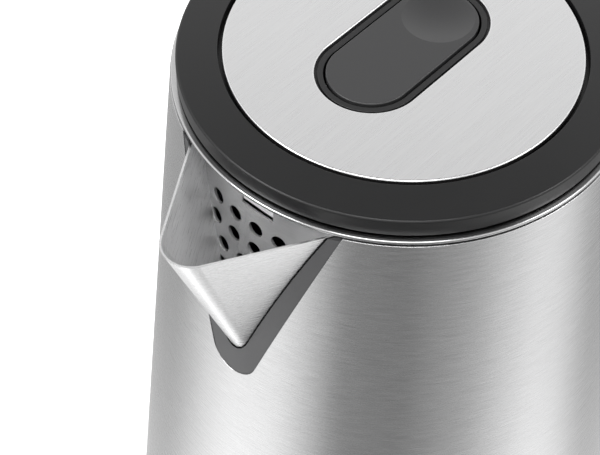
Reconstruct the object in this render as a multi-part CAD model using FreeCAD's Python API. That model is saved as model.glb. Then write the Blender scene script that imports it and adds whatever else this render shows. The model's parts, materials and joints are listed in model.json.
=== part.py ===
# Electric kettle on a power base. Double-walled cone of brushed steel with a V-shaped spout,
# a hinged lid with a rocking latch button, and a loop handle that holds the steam switch.
# Millimetres, +Z up, origin on the table under the kettle's axis, spout towards -X, handle towards +X.
import FreeCAD, Part
import math
import os

Vec = FreeCAD.Vector

# Clearances
weld_gap = 0.1          # between pieces that are welded, pressed or screwed together
part_gap = 0.3          # between pieces that pass each other
pin_play = 0.05         # radial play of a turning pin
thread_gap = 0.1        # round a screw's shank

# Double-walled body
rim_height = 229.0
rim_radius = 63.9
body_taper = 0.10       # radius gained for each millimetre below the rim
shell_wall = 0.8
wall_gap = 5.2          # air between the shell and the pot
pot_wall = 0.8
bead_height = 1.3       # rolled rim of the pot
bead_width = 1.7
bead_round = 0.6
shoulder_height = 5.0   # flared top of the pot, under the rim
shell_foot = 30.0       # lower edge of the steel shell
pot_floor = 58.0
plate_thickness = 1.5

# Spout, its trim and the perforated wall behind it
lip_drop = 2.8          # lip below the rim
lip_apex = 99.2         # where the two walls of the V would meet, from the kettle's axis
lip_angle = 31.1        # half angle of the V
lip_nose = 8.5          # nose radius at the lip
nose_growth = -0.06     # nose radius gained for each millimetre below the lip
spout_lean = 0.43       # how fast the V draws in below the lip
spout_depth = 80.0
spout_sheet = 0.8
spout_line = 0.4        # dark line between the spout and its trim
trim_half = 27.7        # half width of the trim at the lip's height
trim_slope = 0.319
trim_round = 8.1
trim_recess = 0.2
window_drop = 12.5      # top of the perforated wall below the rim
window_half = 24.5
window_slope = 0.32
window_round = 8.0
hole_radius = 2.2
hole_angle = 7.6        # between neighbouring holes
hole_pitch = 7.7        # between rows
hole_drop = 18.4        # first row below the rim
hole_rows = [(-2, -1, 0, 1, 2), (-2, -1, 0, 1, 2), (-1.5, -0.5, 0.5, 1.5),
             (-1.5, -0.5, 0.5, 1.5), (-1, 0, 1), (-0.5, 0.5)]

# Lid
lid_rise = 7.0          # top of the lid above the rim
flange_radius = 62.2
flange_lift = 0.5       # underside of the flange above the rim
ridge_drop = 1.0        # outer edge of the lid ring below the disc
ridge_round = 1.5
disc_radius = 49.55
disc_gap = 0.85         # dark ring round the disc
disc_sheet = 0.8
disc_depth = 2.0        # recess under the disc
disc_round = 0.4
lid_floor = 2.0
plug_radius = 55.4
plug_taper = 0.08
plug_wall = 2.0
plug_depth = 17.5
liner_thickness = 1.2
liner_spigot = 1.5
seal_reach = 4.0
seal_thickness = 1.2
lid_screw_circle = 44.0
lid_screw_angles = (50, 130, 230, 310)

# Button, bezel and latch
bezel_half_length = 28.7
bezel_half_width = 14.7
bezel_wall = 2.4
bezel_depth = 9.0
bezel_recess = 0.4
bezel_flange = 2.2
button_gap = 0.7
button_plate = 2.6
button_pivot = 22.0     # pivot from the lid's centre, towards the spout
pivot_depth = 6.0
pivot_pin_radius = 1.0
lug_radius = 2.3
lug_half_width = 5.5
dimple_offset = 15.0    # towards the handle
dimple_radius = 9.4
dimple_depth = 1.6
rib_offset = 12.0       # rib that pushes the latch, towards the handle
rib_half_width = 3.2
rib_radius = 1.5
rib_depth = 8.3         # centre of the rib's rounded end below the lid's top
ramp_angle = 35.0
ramp_top = 6.5          # top of the ramp below the lid's top
bolt_half_width = 5.2
bolt_thickness = 4.2
bolt_top = 12.9         # top of the bolt below the lid's top
bolt_tail = 20.5        # rear face, towards the handle
bolt_bevel = 1.8
rail_wall = 1.5
rail_start = 47.0       # from the axis towards the spout
stop_offset = 34.0
stop_wall = 2.0
latch_coil = 3.2
latch_wire = 0.45
latch_turns = 6

# Hinge of the lid
hinge_offset = 70.0
hinge_height = 2.5      # axis above the rim
hinge_pin_radius = 1.5
knuckle_radius = 3.6
tongue_half = 12.0
tongue_thickness = 4.5
notch_half = 5.5
notch_reach = 5.2
cheek_wall = 4.0
cheek_radius = 4.2
hinge_coil = 2.7
hinge_wire = 0.45
hinge_turns = 5
spring_leg = 3.4

# Handle
handle_drop = 7.0       # top of the handle below the rim
handle_bottom = 52.0
grip_depth = 22.0       # from the finger opening to the back of the handle
handle_corner_top = 26.0
handle_corner_low = 22.0
upper_arm = 24.0        # height of the two arms
lower_arm = 26.0
grip_reach_top = 108.0
grip_reach_low = 102.0
grip_corner_top = 16.0
grip_corner_low = 14.0
handle_half = 13.0
handle_edge = 6.0       # rounding of the outer edges
finger_edge = 3.0       # rounding towards the fingers
handle_wall = 2.2
handle_split = 6.0      # seam between the two shells, from the finger opening
handle_end = 4.0        # end wall against the steel shell
bracket_reach = 100.0
bracket_rise = 8.5
bracket_crest = 88.0
bracket_floor = 4.3
handle_screw_offset = 81.0
handle_screw_half = 8.0
low_screw_height = 61.0
low_screw_half = 6.5
low_screw_length = 12.0

# Steam path and switch
steam_drop = 11.0       # steam port below the top of the handle
steam_port = 4.4
tube_radius = 4.0
tube_bore = 2.8
tube_bend = 14.0
switch_start = 92.0
switch_end = 116.5
switch_half = 9.6
switch_floor = 63.6
switch_top = 75.0
ear_wall = 2.2
ear_half_length = 3.5
lever_pivot_x = 100.5
lever_pivot_z = 59.5
lever_pin_radius = 1.25
lever_hub = 3.0
lever_arm = 3.6
lever_tip = 131.0
paddle_start = 120.0
paddle_half = 8.0
paddle_thickness = 5.0
lens_half_length = 2.6
lens_half_width = 1.6
lens_thickness = 0.5
bimetal_radius = 6.0
bimetal_sheet = 0.6
slot_start = 106.0

# Heater and control
spreader_radius = 62.0
spreader_thickness = 4.5
element_radius = 48.0
element_tube = 3.5
element_opening = 40.0  # half angle left open at the tails
element_bend = 8.0
element_tail = 6.0
control_radius = 29.0
control_foot = 23.0
control_head = 51.0
socket_radius = 14.0
socket_roof = 37.5
collar_inner = 6.6
collar_outer = 9.4
collar_foot = 25.5
contact_sheet = 0.4
contact_pin = 1.9
contact_pin_foot = 24.5
control_screw_circle = 22.0
control_screw_angle = 90.0
disc_offset = 15.0
snap_radius = 9.0
snap_sheet = 0.5

# Foot of the kettle
skirt_foot = 16.6
skirt_wall = 2.2
skirt_lip = 10.0        # inner lip that locates the shell
cover_thickness = 2.5
cover_opening = 31.5
boss_wall = 1.6
stud_circle = 68.0
foot_screw_angle = 60.0
stud_radius = 3.2
stud_length = 18.0

# Power base
base_radius = 82.0
base_height = 16.0
base_wall = 2.5
base_round = 2.0
plateau_radius = 57.0
plateau_rise = 4.0
recess_gap = 1.5
plate_bottom = 2.0
foot_inner = 60.0
foot_outer = 70.0
post_radius = 13.6
post_height = 16.0
post_flange = 20.0
groove_inner = 6.2
groove_outer = 10.2
groove_depth = 13.0
centre_hole = 2.6
base_screw_circle = 40.0
boss_radius = 4.0
cord_height = 9.4
cord_bore = 3.3
gland_radius = 4.6
gland_flange = 6.0
gland_length = 5.0

# Screws
screw_radius = 1.5
head_radius = 2.8
head_height = 1.2

# Heights and places that follow from the sizes above
lid_top = rim_height + lid_rise
handle_top = rim_height - handle_drop
grip_top = handle_top - upper_arm
grip_bottom = handle_bottom + lower_arm
handle_reach_top = grip_reach_top + grip_depth
handle_reach_low = grip_reach_low + grip_depth
steam_height = handle_top - steam_drop
lip_height = rim_height - lip_drop
shoulder_foot = rim_height - shoulder_height
bead_foot = rim_height - bead_height
bead_inner = rim_radius - bead_width
shell_top = bead_foot - part_gap
pot_foot = pot_floor - plate_thickness
flange_foot = rim_height + flange_lift
recess_floor = lid_top - disc_depth
lid_ceiling = recess_floor - lid_floor
plug_foot = flange_foot - plug_depth
hinge_axis = rim_height + hinge_height
plateau_top = base_height + plateau_rise
bolt_roof = lid_top - bolt_top
bolt_floor = bolt_roof - bolt_thickness
pivot_height = lid_top - pivot_depth
button_half_length = bezel_half_length - bezel_wall - button_gap
button_half_width = bezel_half_width - bezel_wall - button_gap
spreader_foot = pot_foot - spreader_thickness
base_ceiling = plateau_top - base_wall
axis_up = Vec(0, 0, 1)


def body_radius(z):
    return rim_radius + body_taper * (rim_height - z)


def shell_inner(z):
    return body_radius(z) - shell_wall


def pot_outer(z):
    return shell_inner(z) - wall_gap


def pot_inner(z):
    return pot_outer(z) - pot_wall


def plug_outer(z):
    return plug_radius - plug_taper * (flange_foot - z)


def cone(z0, z1, radius):
    return Part.makeCone(radius(z0), radius(z1), z1 - z0, Vec(0, 0, z0))


def outward(shape):
    if shape.Volume < 0:
        shape.reverse()
    return shape


def turned(points):
    # solid of revolution about Z from a closed (radius, height) outline
    corners = [Vec(r, 0, z) for r, z in points]
    face = Part.Face(Part.makePolygon(corners + corners[:1]))
    return outward(face.revolve(Vec(0, 0, 0), axis_up, 360))


def ring(inner, outer, z0, z1):
    return turned([(inner, z0), (outer, z0), (outer, z1), (inner, z1)])


def slab(x0, x1, y0, y1, z0, z1):
    return Part.makeBox(x1 - x0, y1 - y0, z1 - z0, Vec(x0, y0, z0))


def rod(radius, start, end):
    return Part.makeCylinder(radius, (end - start).Length, start, end - start)


def upright(radius, x, y, z0, z1):
    return rod(radius, Vec(x, y, z0), Vec(x, y, z1))


def cross_rod(radius, x, z, y0, y1):
    return rod(radius, Vec(x, y0, z), Vec(x, y1, z))


def extruded(points, y0, y1):
    # prism along Y from a closed (x, z) outline
    corners = [Vec(x, y0, z) for x, z in points]
    face = Part.Face(Part.makePolygon(corners + corners[:1]))
    return outward(face.extrude(Vec(0, y1 - y0, 0)))


def capsule(half_length, half_width, z0, z1):
    # straight-sided prism with round ends, long along X
    s = half_length - half_width
    w = half_width
    edges = [
        Part.LineSegment(Vec(-s, -w, z0), Vec(s, -w, z0)).toShape(),
        Part.Arc(Vec(s, -w, z0), Vec(half_length, 0, z0), Vec(s, w, z0)).toShape(),
        Part.LineSegment(Vec(s, w, z0), Vec(-s, w, z0)).toShape(),
        Part.Arc(Vec(-s, w, z0), Vec(-half_length, 0, z0), Vec(-s, -w, z0)).toShape(),
    ]
    return Part.Face(Part.Wire(edges)).extrude(Vec(0, 0, z1 - z0))


def fuse(shapes):
    return shapes[0].multiFuse(shapes[1:]).removeSplitter()


def cut(shape, tools):
    for tool in tools:
        shape = shape.cut(tool)
    return shape


def polar(radius, degrees, z):
    angle = math.radians(degrees)
    return Vec(radius * math.cos(angle), radius * math.sin(angle), z)


def thirds(start):
    return [start + 120 * k for k in range(3)]


def round_edges(shape, radius, chosen):
    return shape.makeFillet(radius, [edge for edge in shape.Edges if chosen(edge)])


def circle_at(z, radius):
    # picks the full circles of one radius at one height
    def chosen(edge):
        box = edge.BoundBox
        flat = abs(box.ZMin - z) < 1e-4 and abs(box.ZMax - z) < 1e-4
        return flat and abs(box.XMax - radius) < 1e-3
    return chosen


def vee_prism(half_top, z_top, slope, radius):
    # V with a round bottom, cut straight through the spout's side of the body
    lean = math.atan(slope)
    centre = z_top - half_top / slope + radius / math.sin(lean)
    y_foot = radius * math.cos(lean)
    z_foot = centre - radius * math.sin(lean)
    x = -body_radius(centre - radius) - lip_apex
    edges = [
        Part.LineSegment(Vec(x, -half_top, z_top), Vec(x, half_top, z_top)).toShape(),
        Part.LineSegment(Vec(x, half_top, z_top), Vec(x, y_foot, z_foot)).toShape(),
        Part.Arc(Vec(x, y_foot, z_foot), Vec(x, 0, centre - radius), Vec(x, -y_foot, z_foot)).toShape(),
        Part.LineSegment(Vec(x, -y_foot, z_foot), Vec(x, -half_top, z_top)).toShape(),
    ]
    return outward(Part.Face(Part.Wire(edges)).extrude(Vec(-x - pot_inner(z_top) / 2, 0, 0)))


def spout_outline(z, grow):
    # plan of the spout's V at one height, with its nose as an arc; grow moves the walls outwards
    angle = math.radians(lip_angle)
    drop = lip_height - z
    nose = lip_nose + nose_growth * drop
    apex = lip_apex - spout_lean * drop + grow / math.sin(angle)
    centre = lip_apex - spout_lean * drop - nose / math.sin(angle)
    radius = nose + grow
    x_side = -(centre + radius * math.sin(angle))
    y_side = radius * math.cos(angle)
    back = -pot_inner(lip_height) / 2
    y_back = (apex + back) * math.tan(angle)
    edges = [
        Part.LineSegment(Vec(back, -y_back, z), Vec(x_side, -y_side, z)).toShape(),
        Part.Arc(Vec(x_side, -y_side, z), Vec(-centre - radius, 0, z), Vec(x_side, y_side, z)).toShape(),
        Part.LineSegment(Vec(x_side, y_side, z), Vec(back, y_back, z)).toShape(),
        Part.LineSegment(Vec(back, y_back, z), Vec(back, -y_back, z)).toShape(),
    ]
    return Part.Wire(edges)


def spout_core(grow, over):
    low = spout_outline(lip_height - spout_depth, grow)
    high = spout_outline(lip_height + over, grow)
    return outward(Part.makeLoft([low, high], True, True))


def pot_envelope():
    return turned([
        (0, pot_foot), (pot_outer(pot_foot), pot_foot), (pot_outer(shoulder_foot), shoulder_foot),
        (bead_inner, bead_foot), (rim_radius, bead_foot), (rim_radius, rim_height), (0, rim_height),
    ])


def shoulder_rise():
    return (bead_foot - shoulder_foot) / (bead_inner - pot_outer(shoulder_foot))


def shoulder_inside(radius):
    # height of the shoulder's upper face at one radius
    slope = shoulder_rise()
    lift = pot_wall * math.sqrt(1 + slope * slope)
    return shoulder_foot + lift + slope * (radius - pot_outer(shoulder_foot))


def make_inner_pot():
    inner = pot_inner(shoulder_foot)
    profile = [
        (pot_outer(pot_foot), pot_foot), (pot_outer(shoulder_foot), shoulder_foot),
        (bead_inner, bead_foot), (rim_radius, bead_foot), (rim_radius, rim_height),
        (bead_inner - pot_wall, rim_height), (bead_inner - pot_wall, shoulder_inside(bead_inner - pot_wall)),
        (inner, shoulder_inside(inner)), (pot_inner(pot_foot), pot_foot),
    ]
    pot = turned(profile)
    pot = round_edges(pot, bead_round, circle_at(rim_height, rim_radius))
    window = vee_prism(window_half, rim_height - window_drop, window_slope, window_round)
    half = bolt_half_width + part_gap
    reach = pot_outer(bolt_floor) + wall_gap
    slot = slab(-reach, -reach / 2, -half, half, bolt_floor - part_gap, bolt_roof + part_gap)
    port = rod(steam_port, Vec(0, 0, steam_height), Vec(body_radius(steam_height), 0, steam_height))
    return cut(pot, [window, slot, port])


def make_spout_filter():
    top = rim_height - window_drop
    foot = top - window_half / window_slope
    panel = cone(foot, top, pot_outer).cut(cone(foot, top, pot_inner))
    panel = panel.common(vee_prism(window_half, top, window_slope, window_round))
    for row, places in enumerate(hole_rows):
        z = rim_height - hole_drop - row * hole_pitch
        for place in places:
            tip = polar(-body_radius(z), place * hole_angle, z)
            panel = panel.cut(rod(hole_radius, Vec(0, 0, z), tip))
    return panel


def make_spout():
    sheet = spout_core(0, 0).cut(spout_core(-spout_sheet, lip_drop))
    return sheet.cut(pot_envelope())


def make_spout_trim():
    foot = lip_height - trim_half / trim_slope
    band = cone(foot, lip_height, lambda z: body_radius(z) - trim_recess)
    band = band.cut(cone(foot, lip_height, lambda z: pot_outer(z) + weld_gap))
    band = band.common(vee_prism(trim_half, lip_height, trim_slope, trim_round))
    return cut(band, [spout_core(spout_line, lip_drop), pot_envelope()])


def make_outer_shell():
    shell = cone(shell_foot, shell_top, body_radius).cut(cone(shell_foot, shell_top, shell_inner))
    rise = shell_top + bead_height - lip_height
    grow = weld_gap / math.cos(math.atan(trim_slope))
    opening = vee_prism(trim_half + trim_slope * rise + grow, lip_height + rise, trim_slope, trim_round + grow)
    reach = Vec(handle_reach_top, 0, 0)
    port = rod(steam_port, Vec(0, 0, steam_height), Vec(0, 0, steam_height) + reach)
    holes = [rod(screw_radius + thread_gap, Vec(0, y, low_screw_height), Vec(0, y, low_screw_height) + reach)
             for y in (-low_screw_half, low_screw_half)]
    return cut(shell, [opening, port] + holes)


def make_heater_plate():
    return cone(pot_foot, pot_floor, lambda z: pot_inner(z) - weld_gap)


def make_heat_spreader():
    disc = ring(0, spreader_radius, spreader_foot, pot_foot)
    holes = [upright(screw_radius, p.x, p.y, spreader_foot, spreader_foot + spreader_thickness / 2)
             for p in (polar(control_screw_circle, a, 0) for a in thirds(control_screw_angle))]
    return cut(disc, holes)


def make_heating_element():
    # open ring under the spreader whose two ends turn down
    z = spreader_foot - element_tube - weld_gap
    first = element_opening
    last = 360 - element_opening
    drop = Vec(0, 0, -element_bend)
    edges = []
    for degrees, turn in ((first, -90), (last, 90)):
        start = polar(element_radius, degrees, z)
        along = polar(1, degrees + turn, 0)
        middle = start + along * (element_bend * math.sin(math.pi / 4))
        middle = middle + drop * (1 - math.cos(math.pi / 4))
        end = start + along * element_bend + drop
        foot = end + Vec(0, 0, -element_tail)
        bend = Part.Arc(start, middle, end).toShape()
        tail = Part.LineSegment(end, foot).toShape()
        edges += [bend, tail]
    main = Part.Arc(polar(element_radius, first, z), polar(element_radius, 180, z),
                    polar(element_radius, last, z)).toShape()
    path = Part.Wire(Part.__sortEdges__([edges[1], edges[0], main, edges[2], edges[3]]))
    return swept(path, element_tube)


def swept(path, radius):
    # round bar along a path of lines and arcs
    edge = path.OrderedEdges[0]
    start = path.OrderedVertexes[0].Point
    flipped = (edge.valueAt(edge.FirstParameter) - start).Length > 1e-6
    along = edge.tangentAt(edge.LastParameter if flipped else edge.FirstParameter)
    profile = Part.Wire([Part.makeCircle(radius, start, along)])
    return outward(path.makePipeShell([profile], True, False))


def make_control_unit():
    body = turned([
        (0, control_head), (control_radius, control_head), (control_radius, control_foot),
        (socket_radius, control_foot), (socket_radius, socket_roof), (collar_outer, socket_roof),
        (collar_outer, collar_foot), (collar_inner, collar_foot), (collar_inner, socket_roof), (0, socket_roof),
    ])
    holes = [upright(screw_radius + thread_gap, p.x, p.y, control_foot, control_head)
             for p in (polar(control_screw_circle, a, 0) for a in thirds(control_screw_angle))]
    return cut(body, holes)


def make_control_contacts():
    pin = ring(0, contact_pin, contact_pin_foot, socket_roof)
    sleeve = ring(collar_outer, collar_outer + contact_sheet, collar_foot, socket_roof)
    return Part.makeCompound([pin, sleeve])


def make_control_screws():
    screws = []
    for p in (polar(control_screw_circle, a, 0) for a in thirds(control_screw_angle)):
        shank = upright(screw_radius, p.x, p.y, control_foot, spreader_foot + spreader_thickness / 2)
        head = upright(head_radius, p.x, p.y, control_foot - head_height, control_foot)
        screws.append(fuse([shank, head]))
    return Part.makeCompound(screws)


def make_bimetal_discs():
    discs = [upright(snap_radius, x, 0, control_head, control_head + snap_sheet)
             for x in (-disc_offset, disc_offset)]
    return Part.makeCompound(discs)


def make_bottom_cover():
    def lip(z):
        return shell_inner(z) - weld_gap
    top = shell_foot + skirt_lip
    floor = skirt_foot + cover_thickness
    recess = plateau_radius + recess_gap
    cover = turned([
        (cover_opening, plateau_top), (recess, plateau_top), (recess, skirt_foot),
        (body_radius(skirt_foot), skirt_foot), (body_radius(shell_foot), shell_foot),
        (lip(shell_foot), shell_foot), (lip(top), top), (lip(top) - skirt_wall, top),
        (lip(floor) - skirt_wall, floor), (recess + cover_thickness, floor),
        (recess + cover_thickness, plateau_top + cover_thickness), (cover_opening, plateau_top + cover_thickness),
    ])
    bosses = []
    holes = []
    for p in (polar(stud_circle, a, 0) for a in thirds(foot_screw_angle)):
        bosses.append(upright(head_radius + boss_wall, p.x, p.y, skirt_foot, pot_foot - stud_length - weld_gap))
        holes.append(upright(screw_radius + thread_gap, p.x, p.y, skirt_foot, pot_foot))
        holes.append(upright(head_radius + thread_gap, p.x, p.y, skirt_foot, plateau_top))
    return cut(fuse([cover] + bosses), holes)


def make_pot_studs():
    studs = []
    for p in (polar(stud_circle, a, 0) for a in thirds(foot_screw_angle)):
        stud = upright(stud_radius, p.x, p.y, pot_foot - stud_length, pot_foot)
        bore = upright(screw_radius + thread_gap, p.x, p.y, pot_foot - stud_length, pot_foot - stud_length / 3)
        studs.append(stud.cut(bore))
    return Part.makeCompound(studs)


def make_bottom_screws():
    screws = []
    for p in (polar(stud_circle, a, 0) for a in thirds(foot_screw_angle)):
        shank = upright(screw_radius, p.x, p.y, plateau_top, pot_foot - stud_length / 2)
        head = upright(head_radius, p.x, p.y, plateau_top - head_height, plateau_top)
        screws.append(fuse([shank, head]))
    return Part.makeCompound(screws)


def loop_outline(top, bottom, reach_top, reach_low, corner_top, corner_low):
    # outline of the handle's outer edge or of its finger opening; it closes inside the body
    def corner(p, before, after, radius):
        to_before = (before - p).normalize()
        to_after = (after - p).normalize()
        half = to_before.getAngle(to_after) / 2
        run = radius / math.tan(half)
        middle = (to_before + to_after).normalize() * (radius / math.sin(half) - radius)
        return p + to_before * run, p + middle, p + to_after * run
    inside = bead_inner / 2
    start = Vec(inside, 0, top)
    high = Vec(reach_top, 0, top)
    low = Vec(reach_low, 0, bottom)
    end = Vec(inside, 0, bottom)
    a, b, c = corner(high, start, low, corner_top)
    d, e, f = corner(low, high, end, corner_low)
    edges = [
        Part.LineSegment(start, a).toShape(), Part.Arc(a, b, c).toShape(), Part.LineSegment(c, d).toShape(),
        Part.Arc(d, e, f).toShape(), Part.LineSegment(f, end).toShape(), Part.LineSegment(end, start).toShape(),
    ]
    return Part.Face(Part.Wire(edges))


def handle_outer_loop():
    return loop_outline(handle_top, handle_bottom, handle_reach_top, handle_reach_low,
                        handle_corner_top, handle_corner_low)


def finger_loop():
    return loop_outline(grip_top, grip_bottom, grip_reach_top, grip_reach_low, grip_corner_top, grip_corner_low)


def loop_prism(face, grow, half):
    # the loop grown in its own plane, then given its width
    if grow:
        face = face.makeOffset2D(grow, 2)
    face = face.copy()
    face.translate(Vec(0, -half, 0))
    return outward(face.extrude(Vec(0, 2 * half, 0)))


def rounded_loop(face, radius):
    # loop prism with its long outer edges rounded
    prism = loop_prism(face, 0, handle_half)

    def chosen(edge):
        box = edge.BoundBox
        side = abs(box.YMax - box.YMin) < 1e-4
        return side and box.XMax > bead_inner / 2 + 1
    return round_edges(prism, radius, chosen)


def finger_cut():
    # the finger opening with flared edges, so that the grip's inner edges come out rounded
    opening = loop_prism(finger_loop(), 0, handle_half + handle_edge)
    flare = loop_prism(finger_loop(), finger_edge, handle_edge)
    sides = []
    for side in (-1, 1):
        lip = flare.copy()
        lip.translate(Vec(0, side * (handle_half - finger_edge / 2 + handle_edge), 0))
        sides.append(lip)
    return [opening] + sides


def handle_blank():
    return cut(rounded_loop(handle_outer_loop(), handle_edge), finger_cut())


def handle_hollow():
    outer = loop_prism(handle_outer_loop(), -handle_wall, handle_half - handle_wall)
    return outer.cut(loop_prism(finger_loop(), handle_wall, handle_half))


def handle_body():
    # hollow loop with an end wall where each arm meets the steel shell
    low = handle_bottom - handle_edge
    high = handle_top + handle_edge
    blank = handle_blank()
    walls = blank.common(cone(low, high, lambda z: body_radius(z) + handle_end))
    loop = fuse([blank.cut(handle_hollow()), walls])
    return loop.cut(cone(low, high, body_radius))


def upper_screw_places():
    return [(handle_screw_offset, y) for y in (-handle_screw_half, handle_screw_half)]


def make_handle_shell():
    loop = handle_body().cut(loop_prism(finger_loop(), handle_split + weld_gap, handle_half + handle_edge))
    boss_foot = steam_height
    bosses = [upright(head_radius, x, y, boss_foot, handle_top - handle_wall) for x, y in upper_screw_places()]
    loop = fuse([loop] + bosses)
    wall = body_radius(steam_height) + handle_end
    port = rod(steam_port, Vec(0, 0, steam_height), Vec(wall + handle_wall, 0, steam_height))
    holes = [upright(screw_radius + thread_gap, x, y, boss_foot, handle_top) for x, y in upper_screw_places()]
    for y in (-low_screw_half, low_screw_half):
        tip = Vec(body_radius(low_screw_height) + low_screw_length, y, low_screw_height)
        holes.append(rod(screw_radius + thread_gap, Vec(0, y, low_screw_height), tip))
    half = paddle_half + part_gap * 2
    roof = lever_pivot_z + paddle_thickness / 2 + part_gap * 2
    slot = slab(slot_start, lever_tip, -half, half, handle_bottom - handle_edge, roof)
    return cut(loop, [port, slot] + holes)


def make_handle_cover():
    return handle_body().common(loop_prism(finger_loop(), handle_split, handle_half + handle_edge))


def make_handle_screws():
    screws = []
    seat = handle_top + bracket_floor / 2
    for x, y in upper_screw_places():
        shank = upright(screw_radius, x, y, steam_height + head_height, seat)
        head = upright(head_radius, x, y, seat, seat + head_height)
        screws.append(fuse([shank, head]))
    for y in (-low_screw_half, low_screw_half):
        seat_x = math.sqrt(shell_inner(low_screw_height + head_radius) ** 2 - (abs(y) + head_radius) ** 2)
        start = Vec(seat_x - head_height, y, low_screw_height)
        seat_point = Vec(seat_x, y, low_screw_height)
        tip = Vec(body_radius(low_screw_height) + low_screw_length - head_height, y, low_screw_height)
        screws.append(fuse([rod(head_radius, start, seat_point), rod(screw_radius, seat_point, tip)]))
    return Part.makeCompound(screws)


def make_hinge_bracket():
    half = tongue_half + part_gap + cheek_wall
    floor = handle_top + bracket_floor
    crest = handle_top + bracket_rise
    front = hinge_offset + cheek_radius
    hump = extruded([
        (bead_inner, handle_top), (bracket_reach, handle_top), (bracket_crest, crest), (front, crest),
        (front, floor), (bead_inner, floor),
    ], -half, half)
    cheeks = []
    for side in (-1, 1):
        inner = side * (tongue_half + part_gap)
        outer = side * half
        web = slab(hinge_offset - cheek_radius, front, min(inner, outer), max(inner, outer), floor, hinge_axis)
        cheeks += [web, cross_rod(cheek_radius, hinge_offset, hinge_axis, inner, outer)]
    bracket = fuse([hump] + cheeks)
    pin_hole = cross_rod(hinge_pin_radius, hinge_offset, hinge_axis, -half, half)
    screws = []
    seat = handle_top + bracket_floor / 2
    for x, y in upper_screw_places():
        screws.append(upright(screw_radius + thread_gap, x, y, handle_top, crest))
        screws.append(upright(head_radius + thread_gap, x, y, seat, crest))
    return cut(bracket, [pin_hole, cone(handle_top, crest, body_radius)] + screws)


def make_hinge_pin():
    half = tongue_half + part_gap + cheek_wall
    return cross_rod(hinge_pin_radius, hinge_offset, hinge_axis, -half, half)


def biarc(p0, t0, p1, t1):
    # two arcs that leave p0 along t0 and reach p1 along t1
    chord = p1 - p0
    both = t0 + t1
    spread = 2 * (1 - t0.dot(t1))
    reach = chord.dot(both)
    d = (math.sqrt(reach * reach + spread * chord.dot(chord)) - reach) / spread
    joint = (p0 + t0 * d + p1 - t1 * d) * 0.5
    return [tangent_arc(p0, t0, joint), tangent_arc(p1, t1 * -1, joint)]


def tangent_arc(start, along, end):
    chord = end - start
    direction = Vec(chord).normalize()
    bulge = along - direction * along.dot(direction)
    angle = along.getAngle(direction)
    middle = start + chord * 0.5 + bulge.normalize() * (chord.Length / 2 * math.tan(angle / 2))
    return Part.Arc(start, middle, end).toShape()


def coil(centre, axis, first, radius, length, turns, wire, lead_in, lead_out):
    # round wire wound about an axis, with a straight run at each end
    side = axis.cross(first)
    steps = int(turns * 4)
    pitch = length / turns

    def point(step):
        angle = step * math.pi / 2
        around = first * math.cos(angle) + side * math.sin(angle)
        return centre + around * radius + axis * (pitch * step / 4)

    def heading(step):
        angle = step * math.pi / 2
        around = side * math.cos(angle) - first * math.sin(angle)
        return (around * (2 * math.pi * radius) + axis * pitch).normalize()
    edges = []
    if lead_in:
        edges.append(Part.LineSegment(point(0) - heading(0) * lead_in, point(0)).toShape())
    for step in range(steps):
        edges += biarc(point(step), heading(step), point(step + 1), heading(step + 1))
    if lead_out:
        edges.append(Part.LineSegment(point(steps), point(steps) + heading(steps) * lead_out).toShape())
    print("coil: least gap between turns", round(pitch - 2 * wire, 2), "mm")
    return swept(Part.Wire(Part.__sortEdges__(edges)), wire)


def make_hinge_spring():
    # wound round the hinge pin, one leg down on the bracket and the other towards the lid
    length = 2 * (notch_half - 2 * hinge_wire - part_gap)
    start = Vec(hinge_offset, -length / 2, hinge_axis)
    floor = handle_top + bracket_floor + part_gap
    return coil(start, Vec(0, 1, 0), Vec(-1, 0, 0), hinge_coil, length, hinge_turns + 0.25, hinge_wire,
                hinge_axis - floor, spring_leg)


def make_latch_spring():
    start = Vec(bolt_tail + latch_wire + part_gap, 0, bolt_roof - bolt_thickness / 2)
    length = stop_offset - part_gap - latch_wire - start.x
    return coil(start, Vec(1, 0, 0), Vec(0, 0, 1), latch_coil, length, latch_turns, latch_wire, 0, 0)


def make_steam_tube():
    # leaves the pot's wall, runs along the upper arm and down the grip to the steam switch
    fraction = (steam_height - handle_bottom) / (handle_top - handle_bottom)
    outer = handle_reach_low + fraction * (handle_reach_top - handle_reach_low)
    fraction = (steam_height - grip_bottom) / (grip_top - grip_bottom)
    inner = grip_reach_low + fraction * (grip_reach_top - grip_reach_low)
    start = Vec(pot_outer(steam_height - tube_radius) + part_gap, 0, steam_height)
    bend = Vec((outer + inner) / 2, 0, steam_height)
    end = Vec(switch_end - tube_radius - part_gap, 0, switch_top + part_gap)
    to_start = (start - bend).normalize()
    to_end = (end - bend).normalize()
    half = to_start.getAngle(to_end) / 2
    run = tube_bend / math.tan(half)
    middle = bend + (to_start + to_end).normalize() * (tube_bend / math.sin(half) - tube_bend)
    edges = [
        Part.LineSegment(start, bend + to_start * run).toShape(),
        Part.Arc(bend + to_start * run, middle, bend + to_end * run).toShape(),
        Part.LineSegment(bend + to_end * run, end).toShape(),
    ]
    path = Part.Wire(edges)
    return swept(path, tube_radius).cut(swept(path, tube_bore))


def bimetal_place():
    return (switch_start + switch_end) / 2 - bimetal_radius / 2


def make_steam_switch():
    box = slab(switch_start, switch_end, -switch_half, switch_half, switch_floor, switch_top)
    ears = []
    foot = handle_bottom + handle_wall + part_gap
    for side in (-1, 1):
        inner = side * (switch_half - ear_wall)
        outer = side * switch_half
        ears.append(slab(lever_pivot_x - ear_half_length, lever_pivot_x + ear_half_length,
                         min(inner, outer), max(inner, outer), foot, switch_floor))
    body = fuse([box] + ears)
    pin_hole = cross_rod(lever_pin_radius, lever_pivot_x, lever_pivot_z, -switch_half, switch_half)
    depth = 4 * bimetal_sheet
    pocket = upright(bimetal_radius + part_gap, bimetal_place(), 0, switch_top - depth, switch_top)
    return cut(body, [pin_hole, pocket])


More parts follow.
